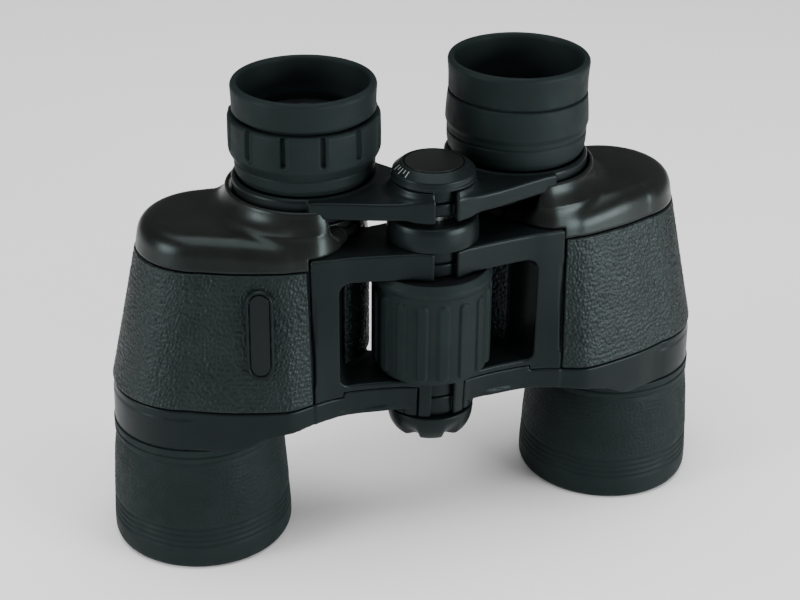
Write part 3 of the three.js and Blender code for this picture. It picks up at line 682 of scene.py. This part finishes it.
def rear_cover_field(x, y, z):
    """The eyepiece-side cover: a soft-shouldered dome with a crescent guard round the eyepiece."""
    wall = polygon(x, y, OUTLINE_COVER) + 0.25
    from_eye = np.hypot(x - EYE[0], y - EYE[1])
    angle = np.degrees(np.arctan2(y - EYE[1], x - EYE[0]))
    ceiling = DOME_TOP + 1.4 * ramp(0.7 * (x - 40) + 0.7 * (y + 5), 0, 16)
    leaning = wall + 0.16 * (z - SEAM_HIGH)
    dome = blend_max(leaning, z - ceiling, 5.2)
    crest = GUARD_TOP - 6.0 * ramp(-angle, 90, 102) - 3.0 * ramp(angle, 70, 95)
    drop = np.clip(crest - z, 0, 6)
    flank = (from_eye - 22.2 - 0.085 * drop ** 2) * 0.85
    guard = blend_max(blend_max(flank, GUARD_R - from_eye, 0.6), z - crest, 1.1)
    guard = blend_max(guard, np.maximum(-angle - 103, angle - 98) * 0.37, 2.0)
    guard = blend_max(guard, leaning, 2.4)
    dome = blend_min(dome, guard, 2.0)
    recess = np.maximum(from_eye - GUARD_R, RECESS_FLOOR - z)
    shape = blend_max(dome, -recess, 0.5)
    shape = blend_max(shape, SEAM_HIGH + 0.1 - z, 0.5)
    hollow = np.maximum(wall + 3.4 + 0.7 * np.maximum(z - 92.5, 0), z - 95.0)
    arm_room = np.maximum(polygon(x, y, COVER_ARM_ROOM), z - (UPPER_LUG[1] + GAP))
    shape = np.maximum(shape, np.maximum(-hollow, -arm_room))
    return np.maximum(shape, GUIDE_R - from_eye)


def bridge_field(is_left):
    """The bridge arm: a lug at the hinge, a thin plate and a beaded ring round the eyepiece."""
    def field(x, y, z):
        end_ring = extruded(round_wall(x, y, EYE, BRIDGE_RING_R), z, BRIDGE_HUB[0], BRIDGE_PLATE_TOP, 0.6)
        arm = lug(x, y, z, BRIDGE_FRONT, BRIDGE_BACK, BRIDGE_HUB, BRIDGE_R, BRIDGE_CORE_R, BRIDGE_BORE_R,
                  BRIDGE_GAP, is_left, plate=(BRIDGE_HUB[0], BRIDGE_PLATE_TOP), edge=0.5, root=3.0)
        from_eye = np.hypot(x - EYE[0], y - EYE[1])
        bead = np.hypot(from_eye - BEAD_R, z - BRIDGE_PLATE_TOP) - BEAD
        body = blend_min(blend_min(arm, end_ring, 0.6), bead, 0.4)
        return carve(body, from_eye - OCULAR_R, 0.4)
    return field


for name, side in SIDES:
    is_left = side > 0
    barrel = f"{name}_barrel"
    bridge_body = "bridge" if is_left else "right_bridge"
    for piece, field, low, high, body, slot, material, node in (
            ("housing_casting", housing_field(is_left), (-13, -14, 42), (90, 46, 95), barrel, "painted_alloy",
             PAINT, "housing"),
            ("front_cover_shell", front_cover_field, (5, -14, 38.5), (92, 48, 54), barrel, "satin_cover",
             PAINT, "front_cover"),
            ("rear_cover_shell", rear_cover_field, (12, -9, 90), (80, 41, 107), barrel, "satin_cover",
             SATIN, "rear_cover"),
            ("bridge_arm_casting", bridge_field(is_left), (-13, -13, 103), (52, 42, 112), bridge_body,
             "painted_alloy", PAINT, "bridge_arm")):
        shell_name = f"{name}_{piece}"
        add_piece(shell_name, moulded(shell_name, field, low, high, side), body, slot, material,
                  f"{name}_{node}")


# ------------------------------------------------------------------ leatherette
LEATHER_EDGE = 36.3
LEATHER_LENGTH = 190
LEATHER_HEIGHT = 40
EDGE_ROUND = 0.7
COARSE_PEBBLE = 1.05
FINE_PEBBLE = 0.7


def resample(points, count):
    points = np.array(points, float)
    lengths = np.concatenate([[0], np.cumsum(np.linalg.norm(np.diff(points, axis=0), axis=1))])
    at = np.linspace(0, lengths[-1], count)
    return np.stack([np.interp(at, lengths, points[:, i]) for i in (0, 1)], 1), lengths[-1]


def strip_path(outline_points):
    """The outline from the edge of the smooth strip, round the outside and back, to the window's side."""
    points = [p for p in outline_points if not (p[0] < LEATHER_EDGE and p[1] < -2)]
    start = next(i for i, p in enumerate(outline_points) if p[0] >= LEATHER_EDGE)
    ordered = outline_points[start:] + outline_points[:start]
    return [p for p in ordered if p in points]


def leather_lift(s, z, edge, seed):
    """How far the sheet stands proud: pebbles, with the rim rolled over towards the casting."""
    from_flat = EDGE_ROUND - np.minimum(edge, EDGE_ROUND)
    drop = EDGE_ROUND - np.sqrt(np.maximum(EDGE_ROUND ** 2 - from_flat ** 2, 0))
    coarse = pebbles(s + 0.35 * z, 0.75 * z, COARSE_PEBBLE, seed)
    fine = pebbles(s + 0.4 * z, z, FINE_PEBBLE, seed + 5)
    return (0.24 * coarse + 0.06 * fine - 0.25) * ramp(edge, 0.2, 0.9) - drop


def leather_mesh(name, side, seed):
    """A closed sheet round the tapered wall: a pebbled outside and a plain inside."""
    spacing = LEATHER_STEP
    low_path, length = resample(strip_path(OUTLINE_LOW), int(LEATHER_LENGTH / spacing))
    high_path, _ = resample(strip_path(OUTLINE_HIGH), int(LEATHER_LENGTH / spacing))
    columns = len(low_path)
    rows = int(LEATHER_HEIGHT / spacing)
    share = np.linspace(0, 1, rows)[None, :]
    s = np.linspace(0, length, columns)[:, None]
    inner_wall = ramp(s, length - 33, length - 31)
    z0 = SEAM_LOW + GAP + inner_wall * 3.7
    z1 = SEAM_HIGH - 0.25 - inner_wall * 5.0
    z = z0 + (z1 - z0) * share
    t = (z - SEAM_LOW) / (SEAM_HIGH - SEAM_LOW)
    x = low_path[:, 0:1] + (high_path[:, 0:1] - low_path[:, 0:1]) * t
    y = low_path[:, 1:2] + (high_path[:, 1:2] - low_path[:, 1:2]) * t
    middle = (low_path + high_path) / 2
    tangent = np.gradient(middle, axis=0)
    tangent /= np.linalg.norm(tangent, axis=1)[:, None]
    normal = np.stack([tangent[:, 1], -tangent[:, 0]], 1)
    edge = np.minimum(np.minimum(z - z0, z1 - z), np.minimum(s, length - s) + 0 * z)
    out = leather_lift(s, z, edge, seed)
    outer = np.stack([x + normal[:, 0:1] * out, y + normal[:, 1:2] * out, z], 2)
    inner_rows = [rows - 1, rows // 2, 0]
    inner = np.stack([x - normal[:, 0:1] * LEATHER, y - normal[:, 1:2] * LEATHER, z], 2)[:, inner_rows]
    loop = np.concatenate([outer, inner], 1)
    count = loop.shape[1]
    points = loop.reshape(-1, 3)
    faces = []
    for i in range(columns - 1):
        for j in range(count):
            k = (j + 1) % count
            faces.append((i * count + j, (i + 1) * count + j, (i + 1) * count + k, i * count + k))
    faces.append(tuple(range(count)))
    faces.append(tuple((columns - 1) * count + j for j in reversed(range(count))))
    return finish_turned(name, points, faces, side, crease=None)


for seed, (name, side) in enumerate(SIDES):
    add_piece(f"{name}_leatherette", leather_mesh(f"{name}_leatherette", side, seed), f"{name}_barrel",
              "leatherette", LEATHER_SKIN, f"{name}_leather_grip")


# ------------------------------------------------------------------ objectives
SLEEVE = [(22.3, 0.1, 0.4), (25.3, 0.1, 1.2), (26, 1.6, 1.2), (26, 5, 1), (25.5, 14, 1), (24.6, 27, 1),
          (23.9, 32.6, 1), (23.5, 34, 0.3), (24.1, 34.6, 0.3), (24.1, 35.8, 0.3), (23.6, 36.2, 0.2),
          (24.1, 36.6, 0.2), (24.1, 38.5, 0.4), (22.3, 38.5, 0.3)]
OBJECTIVE_TUBE = [(20.5, 1.2), (22, 1.2), (22, 49), (19, 49), (19, 47.5), (20.5, 47.5), (20.5, 15),
                  (19.2, 15), (19.2, 13.4), (20.5, 13.4)]
RETAINER = [(19, 5, 0.3), (20.2, 4.6, 0.1), (20.2, 7.6, 0.1), (19, 7.6, 0.1)]
GROOVES = (7.4, 9.2, 11.0, 12.8)
GRAIN = 1.25
GRAIN_R = 25.0


def sleeve_relief(angle, r, z):
    """Four fine grooves by the rim, grain up the middle and two rings at the top."""
    outside = r > 23.2
    grooves = sum(0.4 * (1 - ramp(np.abs(z - level), 0.2, 0.7)) for level in GROOVES)
    grain = pebbles(angle * GRAIN_R, z, GRAIN, 3, around=int(2 * math.pi * GRAIN_R / GRAIN))
    grain_zone = ramp(z, 14.0, 14.8) * (1 - ramp(z, 32.0, 32.8))
    return np.where(outside, -grooves + (0.2 * grain - 0.12) * grain_zone, 0)


def spanner_slots(angle, r, z):
    """Two slots across the retaining ring for the tool that tightens it."""
    return np.where(r < 19.6, 0.7 * (np.abs(np.sin(angle)) < 0.035), 0)


for name, side in SIDES:
    for piece, profile, slot, material, node, extra in (
            ("objective_armour", SLEEVE, "armour_rubber", RUBBER, "objective_sleeve",
             dict(relief=sleeve_relief, span=0.3, segments=SLEEVE_ROUND, crease=None)),
            ("objective_barrel", OBJECTIVE_TUBE, "blackened_alloy", ANODISED, "objective_tube", {}),
            ("lens_retainer", RETAINER, "blackened_alloy", ANODISED, "objective_retaining_ring",
             dict(relief=spanner_slots))):
        part_name = f"{name}_{piece}"
        add_piece(part_name, turned(part_name, profile, OBJ, side, **extra), f"{name}_barrel", slot, material,
                  f"{name}_{node}")


def lens_profile(r, low, high, bulge_low, bulge_high, steps=14):
    """A lens section, thickest on the axis."""
    below = [(r * t, low - bulge_low * (1 - t * t), 0) for t in np.linspace(0, 1, steps)]
    above = [(r * t, high + bulge_high * (1 - t * t), 0) for t in np.linspace(1, 0, steps)]
    return below + above


for name, side in SIDES:
    ocular_body = "bridge" if side > 0 else "right_ocular"
    for node, body, spec, centre in (
            ("objective_lens", f"{name}_barrel", (20.1, 8.6, 12.4, 0.1, 0.5), OBJ),
            ("eye_lens", ocular_body, (12, 119.4, 121.4, 0.8, 0.8), EYE),
            ("field_lens", ocular_body, (12, 91, 93.4, 0.6, 0.8), EYE)):
        glass_name = f"{name}_{node}_glass"
        add_piece(glass_name, turned(glass_name, lens_profile(*spec), centre, side), body, "coated_glass",
                  LENS_GLASS, f"{name}_{node}")


# ------------------------------------------------------------------ eyepieces
def fold_lines(angle, r, z):
    """The fine groove round the foot of the folding cup."""
    return np.where(r > 18.4, -0.3 * (1 - ramp(np.abs(z - 115.2), 0.1, 0.35)), 0)


NOTCHES = 12
NOTCH_FOOT = 118.6


def dioptre_notches(angle, r, z):
    """Finger notches with a round lower end and a raised lip along one side."""
    pitch = 2 * math.pi / NOTCHES
    across = (np.mod(angle + pitch / 2, pitch) - pitch / 2) * 20.8
    reach = np.hypot(across, np.minimum(z - NOTCH_FOOT, 0))
    lip_reach = np.hypot(across + 0.45, np.minimum(z - NOTCH_FOOT, 0))
    lip = 0.3 * (1 - ramp(np.abs(lip_reach - 1.0), 0.1, 0.5)) * ramp(-across, -0.3, 0.6)
    notch = 1.35 * (1 - ramp(reach, 0.62, 0.86))
    line = 0.25 * (1 - ramp(np.abs(z - 113.4), 0.05, 0.25))
    on_wall = (r > 19.6) & (z < 126.25)
    return np.where(on_wall, lip - notch, 0) - np.where(r > 18.9, line, 0)


BARREL = [(12.3, 88, 0.2), (13.9, 88, 0.2), (13.9, 103, 0.2), (16.5, 103.6, 0.2), (16.5, 122, 0.3),
          (14.7, 122, 0.1), (14.7, 124, 0.3), (10.6, 124, 0.3), (10.6, 122.6, 0.1), (12.3, 122.6, 0.1)]
FOLDING_CUP = [(16.9, 108.8, 0.2), (18.2, 108.8, 0.5), (19.3, 110.2, 0.8), (19.7, 112.6, 1.0),
               (19.75, 116.9, 0.1), (20.2, 118.2, 0.3), (20.0, 122, 2), (19.6, 126.1, 0.3),
               (18.8, 126.55, 0.15), (19.5, 127.0, 0.35), (19.5, 131.3, 2), (19.85, 135.2, 0.5),
               (19.3, 136.15, 0.5), (18.3, 136.15, 0.5), (17.8, 135.2, 0.5), (17.2, 127, 2), (16.9, 124, 1)]
STRAIGHT_CUP = [(16.9, 119.3, 0.2), (17.9, 119.3, 0.2), (17.9, 127.3, 0.2), (19.6, 127.3, 0.5),
                (19.65, 131, 1), (19.85, 134.4, 0.6), (19.2, 135.35, 0.5), (18.2, 135.35, 0.5),
                (17.8, 134.6, 0.5), (17.3, 127, 1), (16.9, 125, 0.5)]
RING = [(16.9, 108.9, 0.2), (18.5, 108.9, 0.4), (19.3, 110.5, 0.4), (19.4, 113.5, 0.15), (20.85, 116.4, 0.5),
        (20.9, 120, 0.8), (20.8, 125.7, 0.5), (20.3, 126.35, 0.3), (18.3, 126.35, 0.3), (18.3, 118.4, 0.2),
        (16.9, 118.4, 0.2)]
GUIDE = [(14.2, 91.3, 0.1), (15.3, 91.3, 0.1), (15.3, 98.4, 0.3), (14.2, 98.4, 0.3)]

for name, side in SIDES:
    ocular_body = "bridge" if side > 0 else "right_ocular"
    add_piece(f"{name}_ocular_tube", turned(f"{name}_ocular_tube", BARREL, EYE, side), ocular_body,
              "blackened_alloy", ANODISED, f"{name}_ocular_barrel")
    cup = FOLDING_CUP if side > 0 else STRAIGHT_CUP
    add_piece(f"{name}_rubber_eyecup",
              turned(f"{name}_rubber_eyecup", cup, EYE, side, fold_lines if side > 0 else None, 0.25,
                     CUP_ROUND, None),
              ocular_body, "armour_rubber", RUBBER, f"{name}_eyecup")
    add_piece(f"{name}_guide_bush", turned(f"{name}_guide_bush", GUIDE, EYE, side), f"{name}_barrel",
              "blackened_alloy", ANODISED, f"{name}_eyepiece_guide")
add_piece("dioptre_grip_ring",
          turned("dioptre_grip_ring", RING, EYE, -1, dioptre_notches, 0.22, RING_ROUND, None),
          "dioptre_ring", "armour_rubber", RUBBER, "dioptre_ring")


# ------------------------------------------------------------------ hinge and focus
RIBS = 17
RIB_TOP = 80.0
RIB_FOOT = 58.2
RIB_R = 16.3
RIB_HEIGHT = 0.66


def wheel_ribs(angle, r, z):
    """Raised ribs with round tops, standing on a smooth band."""
    pitch = 2 * math.pi / RIBS
    across = (np.mod(angle, pitch) - pitch / 2) * RIB_R
    beyond = np.maximum(z - (RIB_TOP - 1.3), 0) + np.maximum(RIB_FOOT - z, 0)
    reach = np.hypot(across, beyond)
    rib = 1 - ramp(reach, 1.15, 1.7)
    return np.where((r > 15.7) & (z > 56) & (z < 82.5), RIB_HEIGHT * rib, 0)


GRIP = [(15.2, 55.5, 0.2), (15.7, 55.5, 0.4), (16.2, 57.2, 0.6), (16.15, 81.9, 0.3), (16.75, 82.6, 0.3),
        (16.8, 83.9, 0.3), (15.6, 85.95, 0.2), (15.2, 85.95, 0.1)]
CORE = [(6.4, 55.9), (14.9, 55.9), (14.9, 85.6), (6.4, 85.6), (6.4, 82), (8.3, 82), (8.3, 64), (6.4, 64)]
COLLAR = [(6.3, 94.3, 0.2), (12.6, 94.3, 0.3), (12.75, 96.6, 1.0), (12.5, 99.6, 0.5), (12.1, 100.9, 0.3),
          (11.3, 101.25, 0.2), (6.3, 101.3, 0.2)]
CAP_SLOPE = ((11.3, 114.1), (8.9, 116.1))
CAP = [(0, 111.8, 0), (11.6, 111.8, 0.15), (11.6, 112.45, 0.15), (11.3, 112.6, 0.1), (*CAP_SLOPE[0], 0.3),
       (*CAP_SLOPE[1], 0.3), (8.25, 116.1, 0.12), (8.25, 115.2, 0.1), (0, 115.2, 0)]
CAP_DISC = [(0, 115.5, 0), (7.95, 115.5, 0.1), (7.95, 116.2, 0.25), (0, 116.3, 0)]
SHAFT = [(0, 60, 0), (3.3, 60, 0.2), (3.3, 111.2, 0.2), (0, 111.2, 0)]


LOBES = 6


def cap_lobes(angle, r, z):
    """Thumb scallops in the lower edge of the tripod-socket cap."""
    swing = np.cos(LOBES * (angle - math.radians(45)))
    valley = ramp(swing, 0.1, 1.0)
    low = 1 - ramp(z, 34.5, 41.0)
    return np.where(r > 4, -2.2 * valley * low * ramp(r, 4, 11), 0)


TRIPOD_CAP = [(0, 34.25, 0), (9.1, 34.25, 0.8), (10.6, 35.0, 0.8), (11.9, 37.4, 1.2), (12.4, 40, 0.8),
              (12.4, 42.25, 0.4), (3.2, 42.25, 0.1), (3.2, 46, 0.3), (0, 46, 0)]

for name, profile, body, slot, material, node, extra in (
        ("focus_grip", GRIP, "focus_wheel", "armour_rubber", RUBBER, "focus_wheel_grip",
         dict(relief=wheel_ribs, span=0.35, segments=GRIP_ROUND, crease=None)),
        ("focus_drum", CORE, "focus_wheel", "blackened_alloy", ANODISED, "focus_wheel", {}),
        ("upper_collar", COLLAR, "left_barrel", "painted_alloy", PAINT, "hinge_collar", {}),
        ("eye_spacing_cap", CAP, "bridge", "painted_alloy", PAINT, "ipd_scale_cap", {}),
        ("eye_spacing_disc", CAP_DISC, "bridge", "satin_cover", SATIN, "cap_disc", {}),
        ("sliding_shaft", SHAFT, "bridge", "spring_steel", STEEL, "focus_shaft", {}),
        ("tripod_cap_knob", TRIPOD_CAP, "tripod_cap", "satin_cover", PAINT, "tripod_socket_cap",
         dict(relief=cap_lobes, span=0.4, crease=50))):
    add_piece(name, turned(name, profile, (0, 0), 1, **extra), body, slot, material, node)


# ------------------------------------------------------------------ badge and scale ticks
BADGE_LEAN = 7.8
BADGE_TURN = 14.5
BADGE_DROP = 0.5


def badge_place():
    """The turn from the badge's own axes (across, up, outwards) to the body, and its middle."""
    upright = Matrix.Rotation(math.radians(90), 3, "X")
    lean = Matrix.Rotation(math.radians(-BADGE_LEAN), 3, "X")
    turn = np.array(Matrix.Rotation(math.radians(BADGE_TURN), 3, "Z") @ lean @ upright)
    middle = centre_mm("name_badge") * (-1, 1, 1) - (0, HINGE_Y, 0)
    return turn, middle - turn @ (0, 0, 0.3)


def stadium(u, v, width, height):
    """Distance to a round-ended outline."""
    return np.hypot(u, np.maximum(np.abs(v) - (height - width) / 2, 0)) - width / 2


def badge_plate(u, v, w):
    crown = 0.62 - 0.02 * u ** 2
    return blend_max(stadium(u, v + BADGE_DROP, 5.4, 23.2), np.maximum(-w, w - crown), 0.25)


def badge_frame(u, v, w):
    ring = blend_max(stadium(u, v + BADGE_DROP, 7.7, 25.5), -stadium(u, v + BADGE_DROP, 6, 23.8), 0.2)
    rim = 1.0 - 0.5 * ramp(stadium(u, v + BADGE_DROP, 6.5, 24.3), 0.1, 0.6)
    return blend_max(ring, np.maximum(-w, w - rim), 0.25)


TICK_WIDTH = 0.14


def scale_ticks():
    """Fine raised ticks, every other one longer, on the sloping face of the eye-spacing cap."""
    vertices = []
    faces = []
    (outer_r, foot), (inner_r, top) = CAP_SLOPE
    fall = (top - foot) / (outer_r - inner_r)
    for i, degrees in enumerate(range(176, 209, 8)):
        for r in (9.4, 10.9 if i % 2 == 0 else 10.3):
            for sign in (-1, 1):
                angle = math.radians(degrees) + sign * TICK_WIDTH / r
                for lift in (-0.1, 0.05):
                    z = top - fall * (r - inner_r) + lift
                    vertices.append((r * math.cos(angle), r * math.sin(angle), z))
        n = 8 * i
        faces += [(n, n + 1, n + 3, n + 2), (n + 4, n + 6, n + 7, n + 5), (n, n + 4, n + 5, n + 1),
                  (n + 2, n + 3, n + 7, n + 6), (n + 1, n + 5, n + 7, n + 3), (n, n + 2, n + 6, n + 4)]
    return finish_turned("eye_spacing_ticks", np.array(vertices), faces, 1, 30)


for name, field, low, high, material, node in (
        ("badge_plate", badge_plate, (-3, -12.3, -0.1), (3, 12.3, 0.8), BADGE_GLOSS, "name_badge"),
        ("badge_frame", badge_frame, (-4.2, -13.5, -0.1), (4.2, 13.5, 1.2), PAINT, "badge_bezel")):
    add_piece(name, moulded(name, field, low, high, -1, BADGE_STEP, badge_place()), "right_barrel",
              "badge_gloss", material, node)
add_piece("eye_spacing_ticks", scale_ticks(), "bridge", "satin_cover", MARKING)


# ------------------------------------------------------------------ carried-over CAD nodes
INNER_FINISH = {"prism_shelf": ANODISED, "upper_prism": PRISM_GLASS, "lower_prism": PRISM_GLASS,
                "upper_prism_clip": STEEL, "lower_prism_clip": STEEL, "strap_lug": PAINT}
for node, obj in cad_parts.items():
    finish = next((m for key, m in INNER_FINISH.items() if node.endswith(key)), STEEL)
    obj.data.materials.clear()
    obj.data.materials.append(finish)


# ------------------------------------------------------------------ floor, light and camera
FLOOR_HALF = 3.0


def studio():
    """A plain pale floor and a dim even world."""
    corners = [(x * FLOOR_HALF, y * FLOOR_HALF, 0) for x, y in ((-1, -1), (1, -1), (1, 1), (-1, 1))]
    floor_mesh = bpy.data.meshes.new("studio_floor")
    floor_mesh.from_pydata(corners, [], [(0, 1, 2, 3)])
    floor = bpy.data.objects.new("studio_floor", floor_mesh)
    bpy.context.scene.collection.objects.link(floor)
    floor.location.z = -0.0002
    material, tree, shader, vector = new_material("pale_floor")
    tree.links.new(colour_ramp(tree, noise(tree, vector, 3.0), (0.86, 0.86, 0.86), (0.9, 0.9, 0.9)),
                   shader.inputs["Base Color"])
    shader.inputs["Roughness"].default_value = 0.8
    floor_mesh.materials.append(material)
    world = bpy.data.worlds.new("studio")
    bpy.context.scene.world = world
    world.use_nodes = True
    background = world.node_tree.nodes["Background"]
    background.inputs["Color"].default_value = (1.0, 1.0, 1.0, 1)
    background.inputs["Strength"].default_value = 0.16


def area_light(name, place, target, size, power):
    """A soft rectangular light that faces its target."""
    data = bpy.data.lights.new(name, "AREA")
    data.shape = "RECTANGLE"
    data.size, data.size_y = size
    data.energy = power
    light = bpy.data.objects.new(name, data)
    bpy.context.scene.collection.objects.link(light)
    light.location = place
    direction = Vector(target) - Vector(place)
    light.rotation_euler = direction.to_track_quat("-Z", "Y").to_euler()


def camera():
    """A long lens from the front left, 28 degrees above the floor."""
    azimuth = math.radians(-16.947)
    elevation = math.radians(27.903)
    roll = math.radians(0.466)
    distance = 0.4726
    target = Vector((-0.00918, HINGE_Y / MM, 0.07527))
    back = Vector((math.sin(azimuth) * math.cos(elevation), -math.cos(azimuth) * math.cos(elevation),
                   math.sin(elevation)))
    right = Vector((0, 0, 1)).cross(back).normalized()
    up = back.cross(right)
    tilted_right = math.cos(roll) * right + math.sin(roll) * up
    tilted_up = -math.sin(roll) * right + math.cos(roll) * up
    data = bpy.data.cameras.new("camera")
    data.sensor_width = 36
    data.lens = 76.74
    cam = bpy.data.objects.new("camera", data)
    bpy.context.scene.collection.objects.link(cam)
    turn = Matrix((tilted_right, tilted_up, back)).transposed().to_4x4()
    cam.matrix_world = Matrix.Translation(target + back * distance) @ turn
    bpy.context.scene.camera = cam


studio()
area_light("overhead", (0.0, -0.02, 1.3), (0, -0.02, 0), (1.4, 1.3), 28.0)
area_light("key_right", (0.66, -0.7, 0.17), (0, 0, 0.07), (0.6, 0.4), 17.0)
area_light("fill_left", (-0.95, -0.16, 0.28), (0, 0, 0.07), (0.36, 0.42), 9.0)
camera()
